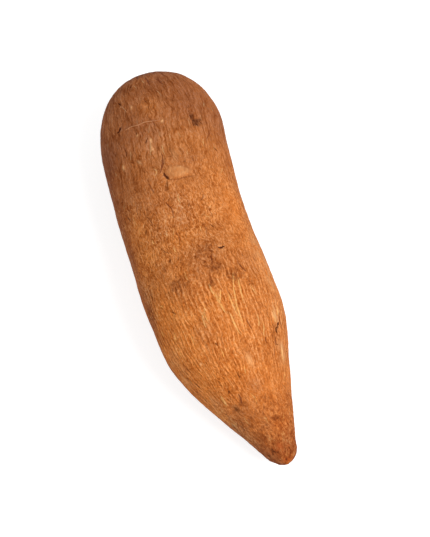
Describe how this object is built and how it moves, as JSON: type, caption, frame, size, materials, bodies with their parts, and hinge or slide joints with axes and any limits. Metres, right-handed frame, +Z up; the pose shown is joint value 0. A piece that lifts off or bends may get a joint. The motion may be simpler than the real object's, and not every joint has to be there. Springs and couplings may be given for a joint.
{
  "type": "yam tuber",
  "caption": "Whole unpeeled yam tuber lying on its side: a long, slightly curved root with a rounded broad end, a blunt tapered tip and finely wrinkled brown skin.",
  "frame": {"origin": "on the resting plane, under the middle of the tuber's bounding box", "axes": "+Y along the tuber towards its broad end, +X to one side, +Z up from the surface it rests on"},
  "size_m": [0.111, 0.344, 0.0952],
  "materials": {
    "skin": "dry, matte, corky orange-brown skin with fine lengthwise wrinkles"
  },
  "bodies": {
    "root": {"tuber": "skin"}
  },
  "joints": []
}
